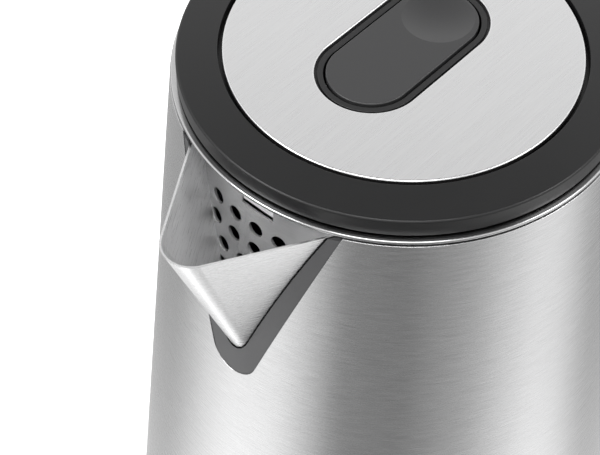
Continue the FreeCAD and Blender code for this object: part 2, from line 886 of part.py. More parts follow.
def make_steam_bimetal():
    z = switch_top - 4 * bimetal_sheet
    return upright(bimetal_radius, bimetal_place(), 0, z, z + bimetal_sheet)


def make_switch_pin():
    return cross_rod(lever_pin_radius, lever_pivot_x, lever_pivot_z, -switch_half, switch_half)


def make_switch_lever():
    half = switch_half - ear_wall - part_gap
    hub = cross_rod(lever_hub, lever_pivot_x, lever_pivot_z, -half, half)
    arm = slab(lever_pivot_x, paddle_start, -half, half, lever_pivot_z - lever_arm / 2, lever_pivot_z + lever_arm / 2)
    paddle = slab(paddle_start - paddle_half / 2, lever_tip, -paddle_half, paddle_half,
                  lever_pivot_z - paddle_thickness / 2, lever_pivot_z + paddle_thickness / 2)

    def corner(edge):
        box = edge.BoundBox
        return box.XMin > lever_tip - 1e-3
    paddle = round_edges(paddle, paddle_thickness / 3, corner)
    bore = cross_rod(lever_pin_radius + pin_play, lever_pivot_x, lever_pivot_z, -half, half)
    return fuse([hub, arm, paddle]).cut(bore)


def make_switch_lens():
    top = lever_pivot_z + paddle_thickness / 2
    lens = capsule(lens_half_length, lens_half_width, top, top + lens_thickness)
    lens.translate(Vec((slot_start + 2 * lever_tip) / 3, 0, 0))
    return lens


def make_lid_ring():
    inner = disc_radius + disc_gap
    profile = [
        (0, lid_ceiling), (plug_outer(lid_ceiling) - plug_wall, lid_ceiling),
        (plug_outer(plug_foot) - plug_wall, plug_foot), (plug_outer(plug_foot), plug_foot),
        (plug_radius, flange_foot), (flange_radius, flange_foot), (flange_radius, lid_top - ridge_drop),
        (inner, lid_top), (inner, recess_floor), (0, recess_floor),
    ]
    body = turned(profile)
    body = round_edges(body, ridge_round, circle_at(lid_top - ridge_drop, flange_radius))
    tongue_top = flange_foot + tongue_thickness
    tongue = slab(plug_radius, hinge_offset, -tongue_half, tongue_half, flange_foot, tongue_top)
    knuckle = cross_rod(knuckle_radius, hinge_offset, hinge_axis, -tongue_half, tongue_half)
    bosses = [upright(head_radius, p.x, p.y, plug_foot, lid_ceiling)
              for p in (polar(lid_screw_circle, a, 0) for a in lid_screw_angles)]
    body = fuse([body, tongue, knuckle] + bosses)
    clearance = bezel_half_length + weld_gap
    well = capsule(clearance, bezel_half_width + weld_gap, lid_ceiling - lid_floor, lid_top)
    bore = cross_rod(hinge_pin_radius + pin_play, hinge_offset, hinge_axis, -tongue_half, tongue_half)
    notch = slab(hinge_offset - notch_reach, hinge_offset + cheek_radius, -notch_half, notch_half,
                 flange_foot - knuckle_radius, lid_top)
    half = bolt_half_width + part_gap
    window = slab(-plug_radius, -rail_start, -half, half, bolt_floor - part_gap, bolt_roof + part_gap)
    holes = [upright(screw_radius + thread_gap, p.x, p.y, plug_foot, lid_ceiling - lid_floor)
             for p in (polar(lid_screw_circle, a, 0) for a in lid_screw_angles)]
    return cut(body, [well, bore, notch, window] + holes)


def make_lid_disc():
    # pressed steel plate with a turned-down rim that stands in the recess
    profile = [
        (0, lid_top - disc_sheet), (disc_radius - disc_sheet, lid_top - disc_sheet),
        (disc_radius - disc_sheet, recess_floor), (disc_radius, recess_floor), (disc_radius, lid_top), (0, lid_top),
    ]
    plate = round_edges(turned(profile), disc_round, circle_at(lid_top, disc_radius))
    opening = capsule(bezel_half_length + part_gap, bezel_half_width + part_gap, recess_floor, lid_top)
    plate = plate.cut(opening)

    def inner_edge(edge):
        box = edge.BoundBox
        return abs(box.ZMin - lid_top) < 1e-4 and box.XMax < bezel_half_length + 1 and box.YMax < disc_radius / 2
    return round_edges(plate, disc_round, inner_edge)


def make_button_bezel():
    top = lid_top - bezel_recess
    wall = capsule(bezel_half_length, bezel_half_width, lid_top - bezel_depth, top)
    flange_top = lid_top - disc_sheet - weld_gap
    flange = capsule(bezel_half_length + bezel_flange, bezel_half_width + bezel_flange, recess_floor, flange_top)
    well = capsule(bezel_half_length - bezel_wall, bezel_half_width - bezel_wall, lid_top - bezel_depth, lid_top)
    pin_hole = cross_rod(pivot_pin_radius, -button_pivot, pivot_height, -bezel_half_width, bezel_half_width)
    return cut(fuse([wall, flange]), [well, pin_hole])


def bezel_half_at_pivot():
    reach = button_pivot - (bezel_half_length - bezel_half_width)
    return math.sqrt(bezel_half_width ** 2 - reach ** 2)


def make_button_pin():
    half = bezel_half_at_pivot() - bezel_wall / 3
    return cross_rod(pivot_pin_radius, -button_pivot, pivot_height, -half, half)


def make_lid_button():
    plate = capsule(button_half_length, button_half_width, lid_top - button_plate, lid_top)
    lug = cross_rod(lug_radius, -button_pivot, pivot_height, -lug_half_width, lug_half_width)
    web = slab(-button_pivot - lug_radius, -button_pivot + lug_radius, -lug_half_width, lug_half_width,
               pivot_height, lid_top - button_plate)
    rib_foot = lid_top - rib_depth
    rib = slab(rib_offset - rib_radius, rib_offset + rib_radius, -rib_half_width, rib_half_width,
               rib_foot, lid_top - button_plate)
    nose = cross_rod(rib_radius, rib_offset, rib_foot, -rib_half_width, rib_half_width)
    body = fuse([plate, lug, web, rib, nose])
    ball = (dimple_radius ** 2 + dimple_depth ** 2) / (2 * dimple_depth)
    dimple = Part.makeSphere(ball, Vec(dimple_offset, 0, lid_top + ball - dimple_depth))
    bore = cross_rod(pivot_pin_radius + pin_play, -button_pivot, pivot_height, -lug_half_width, lug_half_width)
    return cut(body, [dimple, bore])


def make_latch_bolt():
    tip = -pot_outer(bolt_roof)
    bar = extruded([
        (tip, bolt_roof), (bolt_tail, bolt_roof), (bolt_tail, bolt_floor), (tip + bolt_bevel, bolt_floor),
        (tip, bolt_floor + bolt_bevel),
    ], -bolt_half_width, bolt_half_width)
    angle = math.radians(ramp_angle)
    reach = rib_radius + part_gap
    x_touch = rib_offset + reach * math.sin(angle)
    z_touch = lid_top - rib_depth - reach * math.cos(angle)
    z_high = lid_top - ramp_top
    x_low = x_touch - (z_touch - bolt_roof) / math.tan(angle)
    x_high = x_touch + (z_high - z_touch) / math.tan(angle)
    ramp = extruded([
        (x_low, bolt_roof), (x_high, z_high), (bolt_tail, z_high), (bolt_tail, bolt_roof),
    ], -rib_half_width, rib_half_width)
    return fuse([bar, ramp])


def make_lid_liner():
    # closes the lid from below; its middle is the channel that the latch slides in
    top = plug_foot
    spigot = plug_outer(plug_foot) - plug_wall - weld_gap
    pan = turned([
        (0, top - liner_thickness), (plug_outer(plug_foot), top - liner_thickness), (plug_outer(plug_foot), top),
        (spigot, top), (spigot, top + liner_spigot), (spigot - liner_spigot, top + liner_spigot),
        (spigot - liner_spigot, top), (0, top),
    ])
    inner = bolt_half_width + part_gap
    outer = inner + rail_wall
    bed = slab(-rail_start, bolt_tail - rail_wall, -outer, outer, top, bolt_floor - part_gap)
    rails = [slab(-rail_start, bolt_tail - rail_wall, min(a, b), max(a, b), top, bolt_roof)
             for a, b in ((inner, outer), (-inner, -outer))]
    stop = slab(stop_offset, stop_offset + stop_wall, -inner, inner, top, bolt_roof + latch_coil)
    body = fuse([pan, bed, stop] + rails)
    holes = [upright(screw_radius + thread_gap, p.x, p.y, top - liner_thickness, top + liner_spigot)
             for p in (polar(lid_screw_circle, a, 0) for a in lid_screw_angles)]
    return cut(body, holes)


def make_lid_screws():
    seat = plug_foot - liner_thickness
    screws = []
    for p in (polar(lid_screw_circle, a, 0) for a in lid_screw_angles):
        shank = upright(screw_radius, p.x, p.y, seat, lid_ceiling - lid_floor)
        head = upright(head_radius, p.x, p.y, seat - head_height, seat)
        screws.append(fuse([shank, head]))
    return Part.makeCompound(screws)


def make_lid_seal():
    # soft ring under the flange with a lip that leans towards the pot's shoulder
    inner = plug_radius + weld_gap
    top = flange_foot - weld_gap
    reach = inner + seal_reach
    lip = shoulder_inside(reach) + part_gap
    return turned([
        (inner, top), (reach - seal_thickness, top), (reach, lip), (reach - seal_thickness, lip),
        (reach - 2 * seal_thickness, top - seal_thickness), (inner, top - seal_thickness),
    ])


def make_base_foot():
    return ring(foot_inner, foot_outer, 0, plate_bottom)


def base_screw_points():
    return [polar(base_screw_circle, a, 0) for a in thirds(foot_screw_angle)]


def make_base_plate():
    disc = ring(0, base_radius - base_wall - weld_gap, plate_bottom, plate_bottom + base_wall)
    holes = [upright(screw_radius + thread_gap, p.x, p.y, plate_bottom, plate_bottom + base_wall)
             for p in base_screw_points()]
    return cut(disc, holes)


def make_base_cover():
    inner = post_radius + weld_gap
    cover = turned([
        (inner, plateau_top), (plateau_radius, plateau_top), (plateau_radius, base_height),
        (base_radius, base_height), (base_radius, plate_bottom), (base_radius - base_wall, plate_bottom),
        (base_radius - base_wall, base_height - base_wall), (plateau_radius - base_wall, base_height - base_wall),
        (plateau_radius - base_wall, base_ceiling), (inner, base_ceiling),
    ])
    cover = round_edges(cover, base_round, circle_at(base_height, base_radius))
    floor = plate_bottom + base_wall
    bosses = [upright(boss_radius, p.x, p.y, floor, base_ceiling) for p in base_screw_points()]
    holes = [upright(screw_radius + thread_gap, p.x, p.y, floor, base_ceiling - base_wall)
             for p in base_screw_points()]
    inlet = rod(gland_radius + weld_gap, Vec(base_radius / 2, 0, cord_height), Vec(base_radius * 2, 0, cord_height))
    return cut(fuse([cover] + bosses), holes + [inlet])


def make_base_connector():
    top = plateau_top + post_height
    groove = top - groove_depth
    foot = base_ceiling - base_wall
    return turned([
        (centre_hole, top), (groove_inner, top), (groove_inner, groove), (groove_outer, groove), (groove_outer, top),
        (post_radius, top), (post_radius, base_ceiling), (post_flange, base_ceiling), (post_flange, foot),
        (centre_hole, foot),
    ])


def make_base_contacts():
    top = plateau_top + post_height
    groove = top - groove_depth
    outer = ring(groove_outer - contact_sheet / 2, groove_outer, groove, top - base_wall)
    centre = ring(centre_hole - contact_sheet, centre_hole, base_ceiling, top - base_wall)
    return Part.makeCompound([outer, centre])


def make_base_screws():
    screws = []
    for p in base_screw_points():
        shank = upright(screw_radius, p.x, p.y, plate_bottom, base_ceiling - base_wall)
        head = upright(head_radius, p.x, p.y, plate_bottom - head_height, plate_bottom)
        screws.append(fuse([shank, head]))
    return Part.makeCompound(screws)


def make_cord_gland():
    def along(radius, x0, x1):
        return rod(radius, Vec(x0, 0, cord_height), Vec(x1, 0, cord_height))
    start = base_radius - gland_length + head_height
    end = base_radius + head_height
    body = fuse([along(gland_radius, start, base_radius), along(gland_flange, base_radius, end)])
    return body.cut(along(cord_bore, start, end))


makers = {
    "base_foot": make_base_foot,
    "base_plate": make_base_plate,
    "base_cover": make_base_cover,
    "base_connector": make_base_connector,
    "base_contacts": make_base_contacts,
    "base_screws": make_base_screws,
    "cord_gland": make_cord_gland,
    "bottom_cover": make_bottom_cover,
    "bottom_screws": make_bottom_screws,
    "pot_studs": make_pot_studs,
    "outer_shell": make_outer_shell,
    "inner_pot": make_inner_pot,
    "spout_filter": make_spout_filter,
    "spout": make_spout,
    "spout_trim": make_spout_trim,
    "heater_plate": make_heater_plate,
    "heat_spreader": make_heat_spreader,
    "heating_element": make_heating_element,
    "control_unit": make_control_unit,
    "control_contacts": make_control_contacts,
    "control_screws": make_control_screws,
    "bimetal_discs": make_bimetal_discs,
    "handle_shell": make_handle_shell,
    "handle_cover": make_handle_cover,
    "handle_screws": make_handle_screws,
    "hinge_bracket": make_hinge_bracket,
    "hinge_pin": make_hinge_pin,
    "hinge_spring": make_hinge_spring,
    "steam_tube": make_steam_tube,
    "steam_switch": make_steam_switch,
    "steam_bimetal": make_steam_bimetal,
    "switch_pin": make_switch_pin,
    "switch_lever": make_switch_lever,
    "switch_lens": make_switch_lens,
    "lid_ring": make_lid_ring,
    "lid_disc": make_lid_disc,
    "button_bezel": make_button_bezel,
    "button_pin": make_button_pin,
    "lid_button": make_lid_button,
    "latch_bolt": make_latch_bolt,
    "latch_spring": make_latch_spring,
    "lid_liner": make_lid_liner,
    "lid_seal": make_lid_seal,
    "lid_screws": make_lid_screws,
}

os.makedirs("parts", exist_ok=True)
for node, make in makers.items():
    shape = make()
    solids = len(shape.Solids)
    print(node, solids, "solid" if solids == 1 else "solids", round(shape.Volume / 1000, 2), "cm3")
    shape.exportStep("parts/" + node + ".step")
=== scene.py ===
import bpy
import json
import math
from mathutils import Matrix, Vector

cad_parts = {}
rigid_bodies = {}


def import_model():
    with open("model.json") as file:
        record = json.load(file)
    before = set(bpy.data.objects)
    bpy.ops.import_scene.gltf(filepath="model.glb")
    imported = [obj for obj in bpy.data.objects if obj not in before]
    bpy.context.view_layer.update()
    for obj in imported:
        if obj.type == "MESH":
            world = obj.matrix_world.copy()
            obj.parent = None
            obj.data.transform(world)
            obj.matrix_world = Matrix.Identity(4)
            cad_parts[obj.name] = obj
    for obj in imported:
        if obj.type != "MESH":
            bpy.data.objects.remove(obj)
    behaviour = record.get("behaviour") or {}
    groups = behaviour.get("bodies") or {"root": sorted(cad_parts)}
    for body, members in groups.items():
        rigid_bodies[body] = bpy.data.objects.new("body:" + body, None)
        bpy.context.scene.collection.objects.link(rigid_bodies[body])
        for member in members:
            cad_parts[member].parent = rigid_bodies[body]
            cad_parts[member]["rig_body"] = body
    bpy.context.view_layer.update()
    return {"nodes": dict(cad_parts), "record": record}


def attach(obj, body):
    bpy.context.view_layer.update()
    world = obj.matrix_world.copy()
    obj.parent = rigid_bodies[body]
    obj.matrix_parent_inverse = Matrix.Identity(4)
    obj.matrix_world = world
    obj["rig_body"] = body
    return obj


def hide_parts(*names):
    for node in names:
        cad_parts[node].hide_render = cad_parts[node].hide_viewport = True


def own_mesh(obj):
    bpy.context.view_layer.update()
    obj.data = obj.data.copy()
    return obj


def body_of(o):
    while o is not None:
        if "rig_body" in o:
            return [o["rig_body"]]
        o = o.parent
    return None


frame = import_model()
print("stage: frame loaded")

mm = 0.001
steps = 192  # spin steps of a full turn

body = {  # the double-walled cone
    "rim": 229.0, "radius": 63.9, "taper": 0.10, "wall": 0.8, "gap": 5.2,
    "beadHigh": 1.3, "shellFoot": 30.0, "shellTop": 227.4, "potFoot": 56.5,
}
lidTop = 236.0
cutTop = 240.0  # above everything that is cut
merge = 2e-6  # points nearer than this are one


def bodyRadius(z):
    return body["radius"] + body["taper"] * (body["rim"] - z)


def potOuter(z):
    return bodyRadius(z) - body["wall"] - body["gap"]


def potInner(z):
    return potOuter(z) - body["wall"]


# modelling helpers
def objectMode():
    if bpy.context.object and bpy.context.object.mode != "OBJECT":
        bpy.ops.object.mode_set(mode="OBJECT")


def only(obj):
    objectMode()
    bpy.ops.object.select_all(action="DESELECT")
    obj.select_set(True)
    bpy.context.view_layer.objects.active = obj


def everything():
    bpy.ops.mesh.select_all(action="SELECT")


def startAt(name, point):  # a mesh of one vertex, in edit mode
    objectMode()
    bpy.ops.mesh.primitive_plane_add(size=mm)
    obj = bpy.context.object
    obj.name = name
    obj.data.name = name
    bpy.ops.object.mode_set(mode="EDIT")
    everything()
    bpy.ops.mesh.merge(type="CENTER")
    bpy.ops.transform.translate(value=point)
    return obj


def trace(points):  # extrudes from point to point
    for a, b in zip(points, points[1:]):
        bpy.ops.mesh.extrude_region_move(TRANSFORM_OT_translate={"value": b - a})


def rounded(corners, arc=6):  # closed outline of (u, v, radius) corners
    outline = []
    for i, (u, v, radius) in enumerate(corners):
        p = Vector((u, v))
        if not radius:
            outline.append(p)
            continue
        before = (Vector(corners[i - 1][:2]) - p).normalized()
        after = (Vector(corners[(i + 1) % len(corners)][:2]) - p).normalized()
        half = before.angle(after) / 2
        centre = p + (before + after).normalized() * (radius / math.sin(half))
        first = p + before * (radius / math.tan(half)) - centre
        last = p + after * (radius / math.tan(half)) - centre
        outline += [centre + first.slerp(last, k / arc) * radius for k in range(arc + 1)]
    return outline


def tidyMesh():
    everything()
    bpy.ops.mesh.remove_doubles(threshold=merge)
    bpy.ops.mesh.normals_make_consistent(inside=False)
    bpy.ops.object.mode_set(mode="OBJECT")


def lathe(name, corners, count=steps, arc=6):  # closed (radius, height, round) outline turned about Z
    points = [Vector((p.x, 0, p.y)) * mm for p in rounded(corners, arc)]
    obj = startAt(name, points[0])
    trace(points + points[:1])
    everything()
    bpy.ops.mesh.spin(steps=count, angle=math.tau, center=(0, 0, 0), axis=(0, 0, 1))
    tidyMesh()
    return obj


def plate(name, points):  # flat face inside a closed outline, in edit mode
    obj = startAt(name, points[0])
    trace(points + points[:1])
    everything()
    bpy.ops.mesh.remove_doubles(threshold=merge)
    everything()
    bpy.ops.mesh.edge_face_add()
    return obj


def prism(name, points, along):  # closed outline of points pushed along a vector
    obj = plate(name, points)
    bpy.ops.mesh.extrude_region_move(TRANSFORM_OT_translate={"value": along})
    tidyMesh()
    return obj


def bridged(name, low, high):  # solid between two outlines of as many points
    obj = plate(name, low)
    top = plate(name + "Top", high)
    only(obj)
    top.select_set(True)
    bpy.ops.object.join()
    bpy.ops.object.mode_set(mode="EDIT")
    everything()
    bpy.ops.mesh.delete(type="ONLY_FACE")
    everything()
    bpy.ops.mesh.bridge_edge_loops()
    bpy.ops.mesh.select_all(action="DESELECT")
    bpy.ops.mesh.select_non_manifold()
    bpy.ops.mesh.fill_holes(sides=0)
    tidyMesh()
    return obj


def carve(obj, cutter, how="DIFFERENCE"):
    only(obj)
    step = obj.modifiers.new("carve", "BOOLEAN")
    step.material_mode = "TRANSFER"
    step.operation = how
    step.solver = "EXACT"
    step.object = cutter
    bpy.ops.object.modifier_apply(modifier=step.name)
    bpy.data.objects.remove(cutter)


def soften(obj, width, segments=3, angle=35.0):  # rounds sharp edges and sets smooth shading
    only(obj)
    if width:
        step = obj.modifiers.new("edges", "BEVEL")
        step.width = width * mm
        step.segments = segments
        step.limit_method = "ANGLE"
        step.angle_limit = math.radians(angle)
        bpy.ops.object.modifier_apply(modifier=step.name)
    bpy.ops.object.shade_smooth_by_angle(angle=math.radians(angle))
    step = obj.modifiers.new("normals", "WEIGHTED_NORMAL")
    step.keep_sharp = True
    bpy.ops.object.modifier_apply(modifier=step.name)


def stretch(obj, run):  # parts a turned ring in the middle, so that it becomes a capsule along X
    only(obj)
    bpy.ops.object.mode_set(mode="EDIT")
    for side in (1, -1):
        bpy.ops.mesh.select_all(action="DESELECT")
        bpy.ops.object.mode_set(mode="OBJECT")
        for v in obj.data.vertices:
            v.select = v.co.x * side > 1e-7
        bpy.ops.object.mode_set(mode="EDIT")
        bpy.ops.transform.translate(value=(side * run * mm, 0, 0))
    bpy.ops.object.mode_set(mode="OBJECT")


def capsulePrism(name, halfLength, halfWidth, z0, z1, count=64):
    points = []
    for k in range(count):
        a = math.tau * (k + 0.5) / count
        x = halfWidth * math.cos(a)
        x += math.copysign(halfLength - halfWidth, x)
        points.append(Vector((x, halfWidth * math.sin(a), z0)) * mm)
    return prism(name, points, Vector((0, 0, z1 - z0)) * mm)


def vee(name, half, top, slope, radius, arc=16):  # V with a round bottom, through the spout's side
    lean = math.atan(slope)
    centre = top - half / slope + radius / math.sin(lean)
    far = -150  # outside the spout's nose
    points = [Vector((far, -half, top)), Vector((far, half, top))]
    for k in range(arc + 1):
        a = -lean - (math.pi - 2 * lean) * k / arc
        points.append(Vector((far, radius * math.cos(a), centre + radius * math.sin(a))))
    return prism(name, [p * mm for p in points], Vector((-0.8 * far * mm, 0, 0)))


def rodAlong(name, radius, start, end, sides=48):
    start = Vector(start)
    end = Vector(end)
    bpy.ops.mesh.primitive_cylinder_add(vertices=sides, radius=radius * mm, depth=(end - start).length * mm)
    obj = bpy.context.object
    obj.name = name
    obj.rotation_mode = "QUATERNION"
    obj.rotation_quaternion = (end - start).to_track_quat("Z", "Y")
    obj.location = (start + end) / 2 * mm
    only(obj)
    bpy.ops.object.transform_apply(location=True, rotation=True, scale=True)
    return obj


def slab(name, low, high):
    bpy.ops.mesh.primitive_cube_add(size=1)
    obj = bpy.context.object
    obj.name = name
    obj.scale = [(b - a) * mm for a, b in zip(low, high)]
    obj.location = [(a + b) / 2 * mm for a, b in zip(low, high)]
    only(obj)
    bpy.ops.object.transform_apply(location=True, rotation=True, scale=True)
    return obj


def copyOf(node):  # merged copy of a CAD node's mesh
    source = frame["nodes"][node]
    obj = source.copy()
    obj.data = source.data.copy()
    obj.parent = None
    obj.matrix_world = source.matrix_world.copy()
    obj.name = node + "Look"
    bpy.context.scene.collection.objects.link(obj)
    only(obj)
    bpy.ops.object.transform_apply(location=True, rotation=True, scale=True)
    bpy.ops.object.mode_set(mode="EDIT")
    everything()
    bpy.ops.mesh.remove_doubles(threshold=merge)
    bpy.ops.object.mode_set(mode="OBJECT")
    return obj


# materials
def newMaterial(name):
    mat = bpy.data.materials.new(name)
    mat.use_nodes = True
    nodes = mat.node_tree.nodes
    return mat, nodes, mat.node_tree.links.new, nodes["Principled BSDF"]


def toneFrom(nodes, link, shader, source, low, high, ends):  # base colour between two tones
    tone = nodes.new("ShaderNodeValToRGB")
    for stop, at, colour in zip(tone.color_ramp.elements, ends, (low, high)):
        stop.position = at
        stop.color = list(colour) + [1]
    link(source, tone.inputs["Fac"])
    link(tone.outputs["Color"], shader.inputs["Base Color"])


def glossFrom(nodes, link, shader, source, low, high):  # roughness between two values
    gloss = nodes.new("ShaderNodeMapRange")
    for socket, value in (("From Min", 0.3), ("From Max", 0.7), ("To Min", low), ("To Max", high)):
        gloss.inputs[socket].default_value = value
    link(source, gloss.inputs["Value"])
    link(gloss.outputs["Result"], shader.inputs["Roughness"])


def reliefFrom(nodes, link, shader, source, depth):  # bump, depth in millimetres
    relief = nodes.new("ShaderNodeBump")
    relief.inputs["Strength"].default_value = 1.0
    relief.inputs["Distance"].default_value = depth * mm
    link(source, relief.inputs["Height"])
    link(relief.outputs["Normal"], shader.inputs["Normal"])


def brushed(name, grey, rough, scale, streak, bump=0.02, radial=True, aniso=0.6, metal=1.0,
            tint=(1, 1, 1.005)):
    # steel with fine strokes: scale sets how the strokes run, streak how strong they show
    mat, nodes, link, shader = newMaterial(name)
    shader.inputs["Metallic"].default_value = metal
    coords = nodes.new("ShaderNodeTexCoord")
    mapping = nodes.new("ShaderNodeMapping")
    mapping.inputs["Scale"].default_value = scale
    noise = nodes.new("ShaderNodeTexNoise")
    noise.inputs["Scale"].default_value = 1.0
    noise.inputs["Detail"].default_value = 3.0
    noise.inputs["Roughness"].default_value = 0.65
    link(coords.outputs["Object"], mapping.inputs["Vector"])
    link(mapping.outputs["Vector"], noise.inputs["Vector"])
    strokes = noise.outputs["Fac"]
    low = grey * (1 - streak)
    high = min(1.0, grey * (1 + streak))
    toneFrom(nodes, link, shader, strokes, [low * c for c in tint], [high * c for c in tint], (0.3, 0.7))
    glossFrom(nodes, link, shader, strokes, rough * 0.85, rough * 1.15)
    reliefFrom(nodes, link, shader, strokes, bump)
    shader.inputs["Anisotropic"].default_value = aniso
    if radial:
        tangent = nodes.new("ShaderNodeTangent")
        tangent.direction_type = "RADIAL"
        tangent.axis = "Z"
        link(tangent.outputs["Tangent"], shader.inputs["Tangent"])
        shader.inputs["Anisotropic Rotation"].default_value = 0.25
    return mat


def grained(name, colour, rough, grain=2500.0, bump=0.015, spread=0.06, clear=0.0, shine=0.5):
    # moulded plastic or rubber with a fine eroded grain
    mat, nodes, link, shader = newMaterial(name)
    coords = nodes.new("ShaderNodeTexCoord")
    noise = nodes.new("ShaderNodeTexNoise")
    noise.inputs["Scale"].default_value = grain
    noise.inputs["Detail"].default_value = 2.0
    cloud = nodes.new("ShaderNodeTexNoise")
    cloud.inputs["Scale"].default_value = 60.0
    cloud.inputs["Detail"].default_value = 3.0
    link(coords.outputs["Object"], noise.inputs["Vector"])
    link(coords.outputs["Object"], cloud.inputs["Vector"])
    low = [c * (1 - spread) for c in colour]
    high = [min(1, c * (1 + spread)) for c in colour]
    toneFrom(nodes, link, shader, noise.outputs["Fac"], low, high, (0.25, 0.75))
    glossFrom(nodes, link, shader, cloud.outputs["Fac"], rough * 0.93, rough * 1.07)
    reliefFrom(nodes, link, shader, noise.outputs["Fac"], bump)
    shader.inputs["Coat Weight"].default_value = clear
    shader.inputs["Specular IOR Level"].default_value = shine
    return mat


around = (140.0, 140.0, 4200.0)  # strokes round Z
lengthwise = (70.0, 3600.0, 3600.0)  # strokes along X
straight = {"radial": False, "aniso": 0.0}
finish = {
    "shell_steel": brushed("shellSteel", 0.62, 0.26, around, 0.10),
    "pot_steel": brushed("potSteel", 0.74, 0.21, around, 0.06, metal=0.72),
    "spout_steel": brushed("spoutSteel", 0.72, 0.26, around, 0.10, **straight),
    "disc_steel": brushed("discSteel", 0.66, 0.30, lengthwise, 0.05, 0.012, **straight),
    # the latch bolt's steel is near-white and mostly matt so that its tip shows as a bright bar in the shaded
    # slot: a painted highlight
    "latch_steel": brushed("latchSteelPaintedHighlight", 0.95, 0.30, lengthwise, 0.04, 0.003, **straight, metal=0.1),
    "spring_steel": brushed("springSteel", 0.55, 0.25, (900.0, 900.0, 900.0), 0.08, 0.005, **straight),
    "heater_steel": brushed("heaterSteel", 0.55, 0.32, (700.0, 700.0, 700.0), 0.08, 0.01, **straight),
    "spreader_aluminium": brushed("spreaderAluminium", 0.72, 0.38, (500.0, 500.0, 500.0), 0.06, 0.02,
                                  **straight),
    "fastener_steel": brushed("fastenerSteel", 0.50, 0.30, (1500.0, 1500.0, 300.0), 0.08, 0.005, **straight),
    "contact_brass": brushed("contactBrass", 0.80, 0.28, (600.0, 600.0, 2400.0), 0.06, 0.005, **straight,
                             tint=(1.0, 0.78, 0.42)),
    "lid_black": grained("lidBlack", (0.009, 0.009, 0.0093), 0.35, shine=0.36),
    "button_grey": grained("buttonGrey", (0.034, 0.034, 0.035), 0.42),
    "trim_grey": grained("trimGrey", (0.058, 0.058, 0.06), 0.45),
    "handle_black": grained("handleBlack", (0.030, 0.030, 0.031), 0.48, 1800.0, 0.025),
    "base_black": grained("baseBlack", (0.028, 0.028, 0.029), 0.48, 1800.0, 0.025),
    "liner_black": grained("linerBlack", (0.028, 0.028, 0.029), 0.42),
    "control_white": grained("controlWhite", (0.62, 0.61, 0.57), 0.45),
    "switch_black": grained("switchBlack", (0.040, 0.040, 0.041), 0.42),
    "lens_clear": grained("lensClear", (0.55, 0.20, 0.12), 0.18, 900.0, 0.004, 0.10, 0.6),
    "seal_silicone": grained("sealSilicone", (0.42, 0.42, 0.41), 0.55, 1500.0, 0.01),
    "foot_rubber": grained("footRubber", (0.018, 0.018, 0.018), 0.65, 1500.0, 0.03),
}
beadSteel = brushed("beadSteel", 0.5, 0.16, around, 0.04, 0.001, **straight)
bezelGrey = grained("bezelGrey", (0.012, 0.012, 0.0125), 0.42, shine=0.36)
# the spout's inside faces get a lighter, mostly matt copy of the spout steel: painted light standing in for the
# brightness the inside should get from reflection
spoutInnerPaintedLight = brushed("spoutInnerPaintedLight", 0.78, 0.30, around, 0.10, **straight, metal=0.35)


def dress(obj, slotName):
    if obj.data.materials[:1] != [bezelGrey] and len(obj.data.materials) < 2:  # some are already dressed
        obj.data.materials.clear()
        obj.data.materials.append(finish[slotName])


def place(obj, bodyName, slotName, *nodes):
    only(obj)
    bpy.ops.object.transform_apply(location=True, rotation=True, scale=True)
    dress(obj, slotName)
    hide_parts(*nodes)
    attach(obj, bodyName)


nodeSlots = {entry["node"]: entry["material_slot"] for entry in frame["record"]["subparts"]}
for nodeName, node in frame["nodes"].items():
    slotName = nodeSlots.get(nodeName)
    if slotName in finish:
        dress(node, slotName)
print("stage: materials", len(finish))

# spout group
spoutSet = {
    "lip": 226.2, "apex": 99.2, "angle": math.radians(31.1), "nose": 8.5, "growth": -0.06, "lean": 0.43,
    "depth": 80.0, "sheet": 0.6, "line": 0.4, "edge": 0.15, "back": -28.0, "over": 2.8,
}
potSet = {
    "bend": 224.0, "innerBend": 224.9, "bendRound": 2.0, "neck": 62.2, "neckFoot": 227.7, "beadFoot": 227.9,
    "mouth": 61.4, "beadFrom": 227.0,
}


def spoutChain(z, grow, back, arc=24):  # plan of the V at one height, from back end to back end
    s = spoutSet
    drop = s["lip"] - z
    nose = s["nose"] + s["growth"] * drop
    apex = s["apex"] - s["lean"] * drop + grow / math.sin(s["angle"])
    centre = s["apex"] - s["lean"] * drop - nose / math.sin(s["angle"])
    yBack = (apex + back) * math.tan(s["angle"])
    points = [Vector((back, -yBack, z))]
    for k in range(arc + 1):
        a = math.pi + (math.pi / 2 - s["angle"]) * (1 - 2 * k / arc)
        points.append(Vector((-centre + (nose + grow) * math.cos(a), (nose + grow) * math.sin(a), z)))
    points.append(Vector((back, yBack, z)))
    return points


def spoutCore(name, grow, over):
    low = [p * mm for p in spoutChain(spoutSet["lip"] - spoutSet["depth"], grow, spoutSet["back"])]
    high = [p * mm for p in spoutChain(spoutSet["lip"] + over, grow, spoutSet["back"])]
    return bridged(name, low, high)


def potBlock(name):  # everything inside the pot's outer face
    p = potSet
    return lathe(name, [
        (0, body["potFoot"], 0), (potOuter(body["potFoot"]), body["potFoot"], 0),
        (potOuter(p["bend"]), p["bend"], 0), (p["neck"], p["neckFoot"], 0), (body["radius"], p["neckFoot"], 0),
        (body["radius"], cutTop, 0), (0, cutTop, 0)])


spout = spoutCore("spout", 0, 0)
spout.data.materials.append(finish["spout_steel"])
# the hollow hands the painted-light inner steel to the spout's inside faces
hollow = spoutCore("spoutInside", -spoutSet["sheet"], spoutSet["over"])
hollow.data.materials.append(spoutInnerPaintedLight)
carve(spout, hollow)
carve(spout, potBlock("potBlock"))
soften(spout, spoutSet["edge"], 2, 50)
place(spout, "kettle", "spout_steel", "spout")
print("stage: spout")

